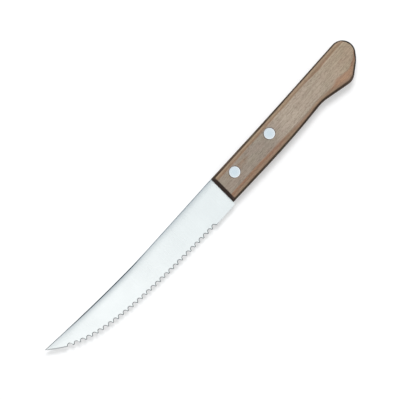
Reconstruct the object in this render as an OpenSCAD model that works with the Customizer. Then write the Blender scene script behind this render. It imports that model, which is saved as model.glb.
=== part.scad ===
// Steak knife lying on its right face: a serrated blade whose partial tang sits in the
// slot of a laminated wood handle and is held there by two compression rivets.
// Lengths are in millimetres and angles in degrees. +X runs to the tip of the blade,
// +Y to the cutting edge and +Z to the left face of the knife. The origin is the middle of
// the knife's outline, on the surface that it lies on.

/* [Blade] */
// Length of the blade in front of the handle
blade_l = 120.7; // [95:0.1:150]
// Height of the blade at its heel
heel_h = 17.7; // [17.2:0.1:22]
// Radius of the heel's lower corner
heel_r = 1.3; // [0.4:0.1:1.3]
// Height of the tip above the straight part of the back
tip_rise = 4.45; // [1:0.05:8]
// Length of the straight part of the back
back_straight_l = 48; // [20:1:70]
// Thickness of the sheet that the blade is cut from
blade_t = 1.5; // [1.1:0.1:2.2]

/* [Grind] */
// Width of the flat grind, from the cutting edge towards the back
grind_w = 18; // [12:0.5:24]
// Thickness of the blade at the foot of the grind
edge_t = 0.4; // [0.3:0.05:0.8]
// Width of the sharpened bevel along the tip
bevel_w = 0.45; // [0.2:0.05:0.8]
// Thickness left at the sharpened edge
keen_t = 0.06; // [0.04:0.01:0.15]

/* [Serration] */
// Length of the plain edge next to the handle
plain_heel_l = 15.1; // [8:0.1:25]
// Length of the plain edge behind the tip
plain_tip_l = 8.9; // [5:0.1:15]
// Distance from tooth to tooth along the blade
tooth_pitch = 3.12; // [2.7:0.01:3.5]
// Radius of the round gullets
gullet_r = 1.13; // [0.9:0.01:1.3]
// Depth of the gullets below the plain edge
gullet_depth = 1.4; // [0.8:0.02:1.5]
// Lean of the gullets, which are ground from the right face
gullet_tilt = 45; // [20:1:50]

/* [Tang] */
// Length of the tang behind the rear rivet
tang_end_l = 8.9; // [5:0.1:20]
// Step from the wood down to the edges of the tang
tang_inset = 0.3; // [0.1:0.05:1]
// Radius of the rear corners of the tang
tang_corner_r = 2; // [0.5:0.1:4]

/* [Handle] */
// Length of the handle along its back
handle_l = 98.4; // [88:0.2:115]
// Thickness of the handle
handle_t = 12; // [10:0.2:15]
// Height of the handle at its front
front_h = 16.3; // [15:0.1:17]
// Distance that the front leans forward at the belly
front_lean = 0.9; // [0:0.1:2]
// Height of the belly's swell between the rivets and the waist
swell_h = 17.2; // [16:0.1:19]
// Height of the waist
waist_h = 15.8; // [14:0.1:17]
// Height of the hump's corner before it is rounded
hump_h = 20.2; // [18:0.1:23]
// Height of the corner where the slope behind the hump gets steeper
steep_h = 14.1; // [12:0.1:16]
// Depth of the hollow in the back
back_hollow = 0.4; // [0:0.05:1]
// Angle between the back and the slope behind the hump
slope_angle = 34.2; // [30:0.1:42]
// Angle between the back and the steeper slope at the rear end
steep_angle = 49.7; // [45:0.1:60]
// Radius of the rear end at the back
butt_r = 6.7; // [5:0.1:7]
// Radius between the two slopes
steep_r = 14.6; // [8:0.2:20]
// Radius of the hump
hump_r = 6.6; // [3:0.1:9]
// Radius of the hollow at the waist
waist_r = 21.6; // [10:0.2:40]
// Radius of the swell of the belly
swell_r = 480; // [200:20:800]
// Radius of the hollow of the back
back_r = 2400; // [1000:100:4000]

/* [Handle edges] */
// Width of the rounding along the back
back_round_w = 3.8; // [1.5:0.1:5]
// Width of the rounding along the belly
belly_round_w = 4.8; // [1.5:0.1:6]
// Width of the rounding around the rear end
end_round_w = 1.2; // [0.4:0.1:3]
// Depth of all the roundings below the flat faces
round_depth = 4; // [2:0.1:4.8]
// Length of the bevel at the front
front_bevel_l = 1.9; // [0.5:0.1:3]
// Depth of the bevel at the front
front_bevel_depth = 2.6; // [0.5:0.1:4]

/* [Rivets] */
// Diameter of the rivet heads
head_d = 5.8; // [5:0.1:6.6]
// Thickness of the rivet heads
head_t = 1.2; // [0.8:0.1:1.8]
// Bevel around the rim of the heads
head_bevel = 0.15; // [0.05:0.05:0.4]
// Outer diameter of the cap's tube
tube_d = 3.5; // [3.1:0.1:4.2]
// Diameter of the stud's shank
shank_d = 2.5; // [1.8:0.1:2.6]
// Distance from the end of the tube to the stud's head
tube_short = 2; // [0.5:0.1:3]
// Distance from the end of the shank to the cap's head
shank_short = 1.6; // [1:0.1:3]
// Distance from the handle's front to the front rivet
front_rivet_x = 10.7; // [7:0.1:16]
// Distance from the handle's front to the rear rivet
rear_rivet_x = 36.8; // [30:0.1:38]
// Distance from the handle's back to the rivets
rivet_y = 6.5; // [5:0.1:9]

/* [Fits] */
// Play between each side of the tang and the slot
slot_play = 0.05; // [0.02:0.01:0.2]
// Play between the end of the tang and the end of the slot
slot_end_play = 0.3; // [0.1:0.1:2]
// Play around the rivet heads
head_play = 0.1; // [0.05:0.01:0.2]
// Play around the tubes in the wood
tube_play = 0.05; // [0.02:0.01:0.2]
// Play around the tubes in the tang
tang_hole_play = 0.15; // [0.05:0.01:0.3]
// Play around the shank in the tube
shank_play = 0.02; // [0.01:0.01:0.05]
// Play above the end of the shank
shank_end_play = 0.3; // [0.1:0.1:0.6]

/* [Hidden] */
$fn = 64;

// Cuts run past the faces that they go through by this much
overrun = 1;

// Control points of the cutting edge: shares of the blade's length and of its heel's height
edge_control_shares = [[0.735, 0.888], [0.868, 0.595]];
// Control point of the back's rise, as a share of the blade's length
back_control_share = 0.6;
// Places along the handle, as shares of its length
hollow_share = 0.43;
swell_share = 0.447;
waist_share = 0.68;

// Steps along the curves of the blade, and of the flats that grind it
curve_steps = 24;
grind_steps = 5;
// Turn of one step on the rounded corners, and the fewest steps on a corner
step_turn = 8;
fewest_steps = 3;
// Steps across the rounding of the handle's edges
round_steps = 6;
// The long edges keep their full rounding up to the first turn, and lose it by the second
full_round_turn = 15;
end_round_turn = 60;

half_t = handle_t / 2;
rivet_xs = [front_rivet_x, rear_rivet_x];
tang_l = rear_rivet_x + tang_end_l;

// Plain geometry
function unit(v) = v / norm(v);
function angle_of(v) = atan2(v.y, v.x);
function spin(v, a) = [v.x * cos(a) - v.y * sin(a), v.x * sin(a) + v.y * cos(a)];
function flat(p) = [p.x, p.y];
function backwards(points) = [for (i = [len(points) - 1 : -1 : 0]) points[i]];
function after_first(points) = [for (i = [1 : len(points) - 1]) points[i]];
function limited(v, low, high) = max(low, min(v, high));
function eased(t) = t * t * (3 - 2 * t);

// Curve through the first and last control points, drawn towards the ones between
function curve_point(ctrl, t) =
    len(ctrl) == 1 ? ctrl[0]
    : curve_point([for (i = [0 : len(ctrl) - 2]) ctrl[i] + (ctrl[i + 1] - ctrl[i]) * t], t);
function curve(ctrl, steps) = [for (i = [0 : steps]) curve_point(ctrl, i / steps)];

// Path of straight lines whose inner corners are rounded. A corner is [x, y, radius], and two
// roundings that would meet shrink alike.
function to_before(c, i) = flat(c[i - 1]) - flat(c[i]);
function to_after(c, i) = flat(c[i + 1]) - flat(c[i]);
function half_angle(c, i) = acos(unit(to_before(c, i)) * unit(to_after(c, i))) / 2;
function wanted_reach(c, i) =
    i == 0 || i == len(c) - 1 ? 0 : c[i].z / tan(half_angle(c, i));
function reach(c, i) =
    let (own = wanted_reach(c, i))
    own * min(1, norm(to_before(c, i)) / (own + wanted_reach(c, i - 1)),
              norm(to_after(c, i)) / (own + wanted_reach(c, i + 1)));
function corner_arc(c, i) =
    let (
        half = half_angle(c, i),
        r = reach(c, i) * tan(half),
        middle = unit(to_before(c, i)) + unit(to_after(c, i)),
        centre = flat(c[i]) + unit(middle) * r / sin(half),
        start = flat(c[i]) + unit(to_before(c, i)) * reach(c, i) - centre,
        turn = sign(cross(-to_before(c, i), to_after(c, i))) * (180 - 2 * half),
        steps = max(fewest_steps, ceil(abs(turn) / step_turn))
    )
    [for (k = [0 : steps]) centre + spin(start, turn * k / steps)];
function rounded_path(c) = [
    flat(c[0]),
    for (i = [1 : len(c) - 2], p = corner_arc(c, i)) p,
    flat(c[len(c) - 1])
];

// Blade and tang, seen from the left face with the handle's front at x = 0
tang_belly = front_h - tang_inset;
tang_back = back_hollow + tang_inset;

back_line = curve([
    [back_straight_l, 0],
    [blade_l * back_control_share, 0],
    [blade_l, -tip_rise]
], curve_steps);

function edge_line(steps) = curve([
    [plain_heel_l, heel_h],
    for (share = edge_control_shares) [blade_l * share.x, heel_h * share.y],
    [blade_l, -tip_rise]
], steps);

heel_corner = rounded_path([
    [plain_heel_l, heel_h, 0],
    [front_lean, heel_h, heel_r],
    [front_lean, tang_belly, 0]
]);

ground_outline = concat(
    [[0, 0]], back_line,
    after_first(backwards(edge_line(curve_steps))),
    after_first(heel_corner), [[0, tang_belly]]);

tang_outline = rounded_path([
    [0, tang_belly, 0],
    [-tang_l, tang_belly, tang_corner_r],
    [-tang_l, tang_back, tang_corner_r],
    [0, tang_back, 0]
]);

// Row of gullets between the two plain stretches
serrated_l = blade_l - plain_heel_l - plain_tip_l;
gullet_count = round(serrated_l / tooth_pitch);
gullet_pitch = serrated_l / gullet_count;
gullet_xs = [for (i = [0 : gullet_count - 1]) plain_heel_l + gullet_pitch * (i + 0.5)];

// Handle, from the front at the back round the rear end to the front at the belly
butt_corner_x = handle_l - butt_r + butt_r / tan(steep_angle / 2);
steep_corner_x = butt_corner_x - steep_h / tan(steep_angle);
hump_corner_x = steep_corner_x - (hump_h - steep_h) / tan(slope_angle);

handle_outline = rounded_path([
    [0, 0, 0],
    [-handle_l * hollow_share, back_hollow, back_r],
    [-butt_corner_x, 0, butt_r],
    [-steep_corner_x, steep_h, steep_r],
    [-hump_corner_x, hump_h, hump_r],
    [-handle_l * waist_share, waist_h, waist_r],
    [-handle_l * swell_share, swell_h, swell_r],
    [front_lean, front_h, 0]
]);
outline_count = len(handle_outline);
front_line = unit([front_lean, front_h]);

// Way out of the outline at point i; the two ends keep to the line of the front
function way_out(i) =
    i == 0 ? -front_line
    : i == outline_count - 1 ? front_line
    : spin(unit(handle_outline[i + 1] - handle_outline[i - 1]), 90);

// Width of the rounding at point i: full along the grain and narrow around the rear end
function round_w(i) =
    let (
        out = way_out(i),
        turn = i == 0 || i == outline_count - 1 ? 0 : acos(abs(out.y)),
        share = limited((end_round_turn - turn) / (end_round_turn - full_round_turn), 0, 1),
        long_w = out.y < 0 ? back_round_w : belly_round_w
    )
    end_round_w + (long_w - end_round_w) * eased(share);

// Rings of points up the thickness; the rounding is a quarter of an ellipse at either face
round_turns = [for (k = [0 : round_steps]) 90 * k / round_steps];
handle_levels = concat(
    [for (t = round_turns) [1 - sin(t), -half_t + round_depth * (1 - cos(t))]],
    [for (t = backwards(round_turns)) [1 - sin(t), half_t - round_depth * (1 - cos(t))]]);

// The flat faces are fans of triangles around a hub at the waist, which sees all of the outline
hub = [-handle_l * waist_share, waist_h / 2];

handle_points = concat(
    [
        for (level = handle_levels, i = [0 : outline_count - 1])
            let (p = handle_outline[i] - way_out(i) * round_w(i) * level.x)
            [p.x, p.y, level.y]
    ],
    [[hub.x, hub.y, -half_t], [hub.x, hub.y, half_t]]);

top_level = len(handle_levels) - 1;
lower_hub = len(handle_points) - 2;
upper_hub = len(handle_points) - 1;
function at(level, i) = outline_count * level + i % outline_count;

handle_faces = [
    for (i = [0 : outline_count - 1]) [lower_hub, at(0, i + 1), at(0, i)],
    for (k = [0 : top_level - 1], i = [0 : outline_count - 1])
        each [
            [at(k, i), at(k, i + 1), at(k + 1, i + 1)],
            [at(k, i), at(k + 1, i + 1), at(k + 1, i)]
        ],
    for (i = [0 : outline_count - 1]) [upper_hub, at(top_level, i), at(top_level, i + 1)]
];

// Rivets: the tube hangs from the cap's head, and the shank stands on the stud's head
between_heads = handle_t - 2 * head_t;
tube_l = between_heads - tube_short;
shank_l = between_heads - shank_short;
tube_bore_l = tube_l - shank_short + shank_end_play;

// The knife lies on its right face with the middle of its outline at the origin
knife_points = concat(ground_outline, handle_outline);
knife_xs = [for (p = knife_points) p.x];
knife_ys = [for (p = knife_points) p.y];

module laid_down() {
    translate([-(min(knife_xs) + max(knife_xs)) / 2, -(min(knife_ys) + max(knife_ys)) / 2, half_t])
        children();
}

module on_both_faces() {
    children();
    mirror([0, 0, 1]) children();
}

module sheet(outline) {
    linear_extrude(height = blade_t, center = true) polygon(outline);
}

// Space above flats that rise inwards from a line along the cutting edge, one for each stretch
module ground_away(line, foot_t, head_t, width) {
    slope = atan((head_t - foot_t) / 2 / width);
    for (i = [0 : len(line) - 2])
        translate([line[i].x, line[i].y, foot_t / 2])
            rotate([0, 0, angle_of(line[i + 1] - line[i])])
                rotate([-slope, 0, 0])
                    translate([-blade_l, -width - overrun, 0])
                        cube([2 * blade_l, width + 2 * overrun, blade_t]);
}

// Gullets lean so that they are deeper on the right face. A flat is left between each two.
module gullets() {
    gullet_rise = gullet_r / cos(gullet_tilt);
    foot_z = edge_t / 2 + (blade_t - edge_t) / 2 * gullet_depth / grind_w;
    edge_points = edge_line(curve_steps);
    for (x = gullet_xs)
        translate([x, lookup(x, edge_points) - gullet_depth + gullet_rise, foot_z])
            rotate([-gullet_tilt, 0, 0])
                cylinder(h = 2 * (blade_t + 2 * gullet_r), r = gullet_r, center = true);
}

module rivet_holes(d) {
    for (x = rivet_xs)
        translate([-x, rivet_y, 0])
            cylinder(h = handle_t + 2 * overrun, d = d, center = true);
}

module blade() {
    fine_edge = edge_line(curve_steps);
    tip_x = max(gullet_xs);
    color("gainsboro") laid_down() union() {
        difference() {
            sheet(ground_outline);
            on_both_faces() {
                ground_away(concat([[front_lean, heel_h]], edge_line(grind_steps)),
                            edge_t, blade_t, grind_w);
                ground_away([for (p = fine_edge) if (p.x > tip_x) p], keen_t, edge_t, bevel_w);
            }
            gullets();
        }
        difference() {
            sheet(tang_outline);
            rivet_holes(tube_d + 2 * tang_hole_play);
        }
    }
}

// Room for the tang, open at the front, the back and the belly
module slot() {
    slot_l = tang_l + slot_end_play;
    slot_t = blade_t + 2 * slot_play;
    translate([-slot_l, -overrun, -slot_t / 2])
        cube([slot_l + front_lean + overrun, hump_h + 2 * overrun, slot_t]);
}

// Wedge in front of the bevel between the left face and the front
module front_bevel() {
    bevel_turn = atan(front_bevel_depth / front_bevel_l);
    side = front_bevel_l + front_bevel_depth;
    rotate([0, 0, angle_of(front_line) - 90])
        translate([-front_bevel_l, -overrun, half_t])
            rotate([0, bevel_turn, 0])
                translate([-side, 0, 0])
                    cube([3 * side, front_h + 2 * overrun, side]);
}

module head_seats() {
    for (x = rivet_xs)
        translate([-x, rivet_y, half_t - head_t])
            cylinder(h = head_t + overrun, d = head_d + 2 * head_play);
}

module handle() {
    color("rosybrown") laid_down() difference() {
        polyhedron(handle_points, handle_faces);
        slot();
        rivet_holes(tube_d + 2 * tube_play);
        on_both_faces() {
            front_bevel();
            head_seats();
        }
    }
}

// Head of a rivet with its inner face at z = 0
module rivet_head() {
    rim_z = head_t - head_bevel;
    cylinder(h = rim_z, d = head_d);
    translate([0, 0, rim_z])
        cylinder(h = head_bevel, d1 = head_d, d2 = head_d - 2 * head_bevel);
}

module rivet_cap(x) {
    color("lightsteelblue") laid_down() translate([-x, rivet_y, half_t - head_t]) difference() {
        union() {
            rivet_head();
            translate([0, 0, -tube_l]) cylinder(h = tube_l + head_t / 2, d = tube_d);
        }
        translate([0, 0, -tube_l - overrun])
            cylinder(h = tube_bore_l + overrun, d = shank_d + 2 * shank_play);
    }
}

module rivet_stud(x) {
    color("lightsteelblue") laid_down() translate([-x, rivet_y, -half_t + head_t]) union() {
        mirror([0, 0, 1]) rivet_head();
        translate([0, 0, -head_t / 2]) cylinder(h = shank_l + head_t / 2, d = shank_d);
    }
}

module front_rivet_cap() {
    rivet_cap(front_rivet_x);
}

module front_rivet_stud() {
    rivet_stud(front_rivet_x);
}

module rear_rivet_cap() {
    rivet_cap(rear_rivet_x);
}

module rear_rivet_stud() {
    rivet_stud(rear_rivet_x);
}

blade();
handle();
front_rivet_cap();
front_rivet_stud();
rear_rivet_cap();
rear_rivet_stud();
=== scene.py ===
"""Steak knife: a serrated blade in a riveted handle of laminated wood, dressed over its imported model.

Sizes are in millimetres in the knife's own axes. Its zero is the back corner of the handle's front, on
the mid-plane: x runs to the tip, y to the cutting edge and z to the left face.
"""

import logging
import math
from dataclasses import dataclass
from enum import Enum

import bmesh
import bpy
import numpy as np
from bpy.types import Material, Node, NodeSocket, NodeTree, Object
from mathutils import Matrix, Vector

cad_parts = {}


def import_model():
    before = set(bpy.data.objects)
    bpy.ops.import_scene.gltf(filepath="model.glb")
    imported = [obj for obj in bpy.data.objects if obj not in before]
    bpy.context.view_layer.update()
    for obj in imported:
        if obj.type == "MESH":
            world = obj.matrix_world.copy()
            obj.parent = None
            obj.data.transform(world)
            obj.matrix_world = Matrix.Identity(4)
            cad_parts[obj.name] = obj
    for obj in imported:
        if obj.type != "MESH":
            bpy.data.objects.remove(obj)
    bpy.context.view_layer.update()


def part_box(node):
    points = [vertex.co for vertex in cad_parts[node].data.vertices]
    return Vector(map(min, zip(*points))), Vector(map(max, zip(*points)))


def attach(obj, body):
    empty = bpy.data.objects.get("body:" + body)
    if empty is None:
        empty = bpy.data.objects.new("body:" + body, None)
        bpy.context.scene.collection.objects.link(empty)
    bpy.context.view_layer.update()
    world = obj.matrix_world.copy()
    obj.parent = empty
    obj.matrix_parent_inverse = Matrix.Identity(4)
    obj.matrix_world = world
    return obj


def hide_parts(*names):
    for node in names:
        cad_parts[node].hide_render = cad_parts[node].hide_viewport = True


LOG = logging.getLogger("steak_knife")
MM = 0.001
# Corners closer than this, in metres, become one
MERGE = 2e-7
BODY = "root"
# Axes of the front and the rear rivet
RIVET_AXES = ((-10.7, 6.5), (-36.8, 6.5))


# Small tools


def linear(code: str) -> tuple[float, float, float, float]:
    """Turns an sRGB hex colour into the linear colour that a shader takes.

    Args:
        code: the colour, such as "#a99d8c".

    Returns:
        Linear red, green and blue, and an alpha of one.
    """
    parts = [int(code[i : i + 2], 16) / 255 for i in (1, 3, 5)]
    red, green, blue = [c / 12.92 if c <= 0.04045 else ((c + 0.055) / 1.055) ** 2.4 for c in parts]
    return red, green, blue, 1.0


def add_node(
    tree: NodeTree, kind: str, inputs: dict[str | int, object] | None = None, **settings: object
) -> Node:
    """Adds one shader node with its settings, and fills or links its sockets.

    Args:
        tree: the node tree of a material or the world.
        kind: Blender's name for the node's type.
        inputs: for each socket, by name or number, a value, a socket to link from, or a node, which
            stands for its first live output.
        settings: the node's own properties.

    Returns:
        The new node.
    """
    node = tree.nodes.new(kind)
    for name, value in settings.items():
        setattr(node, name, value)
    for name, value in (inputs or {}).items():
        if isinstance(value, Node):
            value = next(socket for socket in value.outputs if socket.enabled)
        if isinstance(value, NodeSocket):
            tree.links.new(value, node.inputs[name])
        else:
            node.inputs[name].default_value = value
    return node


def new_material(name: str) -> tuple[Material, NodeTree, NodeSocket]:
    """Makes a material whose only node gives each point's place.

    Args:
        name: the material's name.

    Returns:
        The material, its node tree and the place in metres.
    """
    made = bpy.data.materials.new(name)
    made.use_nodes = True
    made.node_tree.nodes.clear()
    return made, made.node_tree, add_node(made.node_tree, "ShaderNodeTexCoord").outputs["Object"]


def set_ramp(node: Node, stops: tuple[tuple[float, str], ...]) -> Node:
    """Fills a colour ramp, which then runs from its first stop to its last.

    Args:
        node: the ramp's node.
        stops: the place and the sRGB hex colour of each stop, in order.

    Returns:
        The same node.
    """
    low, high = stops[0][0], stops[-1][0]
    elements = node.color_ramp.elements
    while len(elements) < len(stops):
        elements.new(1.0)
    for element, (place, code) in zip(elements, stops):
        element.position, element.color = (place - low) / (high - low), linear(code)
    return node


def marks(*sides: float) -> tuple[float, ...]:
    """What scales a place in metres so that a noise has marks with these sides in millimetres."""
    return tuple(1 / (side * MM) for side in sides)


def smooth_step(value: np.ndarray, low: float, high: float) -> np.ndarray:
    """Rises smoothly from 0 at low to 1 at high.

    Args:
        value: where to look.
        low: where the rise starts.
        high: where it ends.

    Returns:
        The share at each value.
    """
    share = np.clip((value - low) / (high - low), 0.0, 1.0)
    return share * share * (3.0 - 2.0 * share)


def bezier(controls: list[tuple[float, float]], steps: int) -> np.ndarray:
    """Points along the curve through the first and last controls, drawn towards the others.

    Args:
        controls: the control points.
        steps: how many steps to cut the curve into.

    Returns:
        The points, one to a row.
    """
    t = np.linspace(0.0, 1.0, steps + 1)[:, None]
    level = [np.array(c) * np.ones_like(t) for c in controls]
    while len(level) > 1:
        level = [a + (b - a) * t for a, b in zip(level, level[1:])]
    return level[0]


@dataclass(frozen=True)
class KnifePlace:
    """Where the knife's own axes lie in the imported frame, in millimetres."""

    x: float
    y: float
    z: float

    def to_frame(self, points: np.ndarray) -> np.ndarray:
        """Moves points from the knife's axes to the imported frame.

        Args:
            points: rows of x, y and z in millimetres.

        Returns:
            The same points in metres.
        """
        return (np.asarray(points, float) + (self.x, self.y, self.z)) * MM


def drop_slivers(form: bmesh.types.BMesh) -> None:
    """Joins corners that all but touch, and drops what this leaves without an area."""
    bmesh.ops.remove_doubles(form, verts=form.verts, dist=MERGE)
    bmesh.ops.dissolve_degenerate(form, edges=form.edges, dist=MERGE)


def piece_from(name: str, points: np.ndarray, faces: list[tuple[int, ...]]) -> Object:
    """Makes a mesh object with its normals outwards.

    Args:
        name: the piece's name.
        points: its corners, in metres.
        faces: its faces, as rows of corner numbers.

    Returns:
        The object, linked to the scene.
    """
    mesh = bpy.data.meshes.new(name)
    mesh.from_pydata([tuple(p) for p in points], [], faces)
    form = bmesh.new()
    form.from_mesh(mesh)
    drop_slivers(form)
    bmesh.ops.recalc_face_normals(form, faces=form.faces)
    form.to_mesh(mesh)
    form.free()
    made = bpy.data.objects.new(name, mesh)
    bpy.context.scene.collection.objects.link(made)
    return made


def ring_faces(rings: int, around: int) -> list[tuple[int, ...]]:
    """Faces of a closed form whose corners lie in rings, one after the other.

    Args:
        rings: how many rings there are.
        around: how many corners each has.

    Returns:
        The faces between the rings, and one over each end.
    """
    faces = [
        (a * around + k, (a + 1) * around + k, (a + 1) * around + (k + 1) % around,
         a * around + (k + 1) % around)
        for a in range(rings - 1) for k in range(around)]
    return faces + [tuple(range(around)),
                    tuple((rings - 1) * around + k for k in reversed(range(around)))]


def keep_modifiers(piece: Object) -> None:
    """Turns what a piece's modifiers make into its own mesh.

    Args:
        piece: the object, whose modifiers are then gone.
    """
    graph = bpy.context.evaluated_depsgraph_get()
    made = bpy.data.meshes.new_from_object(piece.evaluated_get(graph), depsgraph=graph)
    old = piece.data
    piece.modifiers.clear()
    piece.data = made
    bpy.data.meshes.remove(old)
    made.name = piece.name


def carve(piece: Object, cutters: list[Object]) -> None:
    """Cuts solids out of a piece, deletes them and drops the slivers that the cuts leave.

    Args:
        piece: the object that is cut.
        cutters: closed meshes.
    """
    for cutter in cutters:
        cut = piece.modifiers.new("cut", "BOOLEAN")
        cut.operation, cut.solver, cut.object = "DIFFERENCE", "EXACT", cutter
    keep_modifiers(piece)
    for cutter in cutters:
        bpy.data.objects.remove(cutter)
    form = bmesh.new()
    form.from_mesh(piece.data)
    drop_slivers(form)
    wide = [face for face in form.faces if len(face.verts) > 4]
    bmesh.ops.triangulate(form, faces=wide, ngon_method="BEAUTY")
    form.to_mesh(piece.data)
    form.free()


def crease(piece: Object, angle: float) -> None:
    """Shades a piece smooth, with a sharp line wherever its faces meet at more than an angle.

    Args:
        piece: the object.
        angle: the angle in degrees.
    """
    form = bmesh.new()
    form.from_mesh(piece.data)
    for face in form.faces:
        face.smooth = True
    for edge in form.edges:
        edge.smooth = len(edge.link_faces) == 2 and edge.calc_face_angle() < math.radians(angle)
    form.to_mesh(piece.data)
    form.free()
    evened = piece.modifiers.new("evened", "WEIGHTED_NORMAL")
    evened.mode, evened.keep_sharp = "FACE_AREA", True
    keep_modifiers(piece)


def block(name: str, low: Vector, high: Vector, turn: Matrix, place: KnifePlace) -> Object:
    """Makes a cutter with flat sides.

    Args:
        name: its name.
        low: its lowest corner before the turn, in the knife's axes.
        high: its highest corner before the turn.
        turn: the matrix that turns and moves it.
        place: where the knife lies.

    Returns:
        The cutter.
    """
    corners = [turn @ Vector((x, y, z))
               for x in (low[0], high[0]) for y in (low[1], high[1]) for z in (low[2], high[2])]
    faces = [(0, 1, 3, 2), (4, 6, 7, 5), (0, 4, 5, 1), (2, 3, 7, 6), (0, 2, 6, 4), (1, 5, 7, 3)]
    return piece_from(name, place.to_frame([tuple(c) for c in corners]), faces)


def lathe(
    name: str, profile: list[tuple[float, float]], axis: tuple[float, float], place: KnifePlace, flats: int
) -> Object:
    """Turns a closed profile round an upright axis. The object's origin is on that axis.

    Args:
        name: the piece's name.
        profile: radius and height of each corner, from the axis back to the axis.
        axis: x and y of the axis in the knife's axes.
        place: where the knife lies.
        flats: how many flats go round.

    Returns:
        The turned piece.
    """
    turns = np.linspace(0.0, 2 * math.pi, flats, endpoint=False)
    points = [(r * math.cos(a), r * math.sin(a), z) for a in turns for r, z in profile]
    count = len(profile)
    faces = []
    for i in range(flats):
        a, b = i * count, (i + 1) % flats * count
        faces += [(a + k, b + k, b + k + 1, a + k + 1) for k in range(count - 1)]
    made = piece_from(name, np.array(points) * MM, faces)
    made.location = place.to_frame([(*axis, 0.0)])[0]
    return made


# Finishes


@dataclass(frozen=True)
class GlazedBladeSteel:
    """Martensitic stainless steel, ground across its width and glazed on a fine wheel.

    To the eye it is a pale, slightly cool satin that blurs what it mirrors, with hair-thin lines that
    run from the back to the edge.
    """

    name: str = "glazed_stainless_blade_steel"
    heel_colour: str = "#e9f0f1"
    tip_colour: str = "#f6fbfb"
    heel_x: float = -22.0
    tip_x: float = 68.0
    # Sides of one line. A glazing wheel's real lines are a few hundredths wide and would not show
    line: tuple[float, float, float] = (0.12, 9.0, 9.0)
    line_depth: float = 0.0004
    line_tone: float = 0.98
    cloud_w: float = 14.0
    spread: tuple[float, float] = (0.75, 1.25)
    relief: float = 0.5
    roughness: tuple[float, float] = (0.24, 0.28)

    def material(self) -> Material:
        """Builds the material.

        Returns:
            The material.
        """
        made, tree, place = new_material(self.name)
        # The glazing wheel's lines, and broad clouds where it pressed a little harder
        drawn = add_node(tree, "ShaderNodeVectorMath", {0: place, 1: marks(*self.line)},
                         operation="MULTIPLY")
        lines = add_node(tree, "ShaderNodeTexNoise", {
            "Vector": drawn, "Scale": 1.0, "Detail": 3.0, "Roughness": 0.6})
        clouds = add_node(tree, "ShaderNodeTexNoise", {
            "Vector": place, "Scale": marks(self.cloud_w)[0], "Detail": 2.0})
        worn = add_node(tree, "ShaderNodeMath", {0: lines, 1: clouds}, operation="ADD")
        tone, rough = [
            add_node(tree, "ShaderNodeMapRange", {
                "Value": worn, "From Min": self.spread[0], "From Max": self.spread[1],
                "To Min": start, "To Max": end})
            for start, end in ((1.0, self.line_tone), self.roughness)]
        # The steel is drawn darker at the heel and paler towards the tip
        parts = add_node(tree, "ShaderNodeSeparateXYZ", {0: place})
        drift = add_node(tree, "ShaderNodeMapRange", {
            "Value": parts.outputs["X"], "From Min": self.heel_x * MM, "From Max": self.tip_x * MM},
            interpolation_type="SMOOTHSTEP")
        tint = add_node(tree, "ShaderNodeMix", {
            "Factor": drift, "A": linear(self.heel_colour), "B": linear(self.tip_colour)},
            data_type="RGBA")
        shade = add_node(tree, "ShaderNodeVectorMath", {0: tint, "Scale": tone}, operation="SCALE")
        relief = add_node(tree, "ShaderNodeBump", {
            "Height": lines, "Strength": self.relief, "Distance": self.line_depth * MM})
        shader = add_node(tree, "ShaderNodeBsdfPrincipled", {
            "Base Color": shade, "Metallic": 1.0, "Roughness": rough, "Normal": relief})
        add_node(tree, "ShaderNodeOutputMaterial", {"Surface": shader})
        return made


@dataclass(frozen=True)
class WheelCutSteel:
    """The same steel where a wheel cut its edge and left it bare.

    To the eye the gullets are a flat mid grey, coarser than the glazed face; the grey is painted shade
    for the dark that their steep faces mirror. The honed edge at the tip was cut by a finer wheel and is
    nearly white.
    """

    name: str = "gullet_steel_painted_shade"
    # Painted shade: this grey stands in for the dark that the steep gullet faces mirror
    colour: str = "#8f979b"
    line_colour: str = "#7c8589"
    # Sides of one line, drawn coarser than the wheel's real grit, which would not show
    line: tuple[float, float, float] = (0.08, 3.0, 3.0)
    line_depth: float = 0.001
    relief: float = 0.6
    roughness: float = 0.5

    def material(self) -> Material:
        """Builds the material.

        Returns:
            The material.
        """
        made, tree, place = new_material(self.name)
        drawn = add_node(tree, "ShaderNodeVectorMath", {0: place, 1: marks(*self.line)},
                         operation="MULTIPLY")
        lines = add_node(tree, "ShaderNodeTexNoise", {"Vector": drawn, "Scale": 1.0, "Detail": 2.0})
        tint = add_node(tree, "ShaderNodeMix", {
            "Factor": lines, "A": linear(self.colour), "B": linear(self.line_colour)}, data_type="RGBA")
        relief = add_node(tree, "ShaderNodeBump", {
            "Height": lines, "Strength": self.relief, "Distance": self.line_depth * MM})
        shader = add_node(tree, "ShaderNodeBsdfPrincipled", {
            "Base Color": tint, "Metallic": 1.0, "Roughness": self.roughness, "Normal": relief})
        add_node(tree, "ShaderNodeOutputMaterial", {"Surface": shader})
        return made


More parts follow.
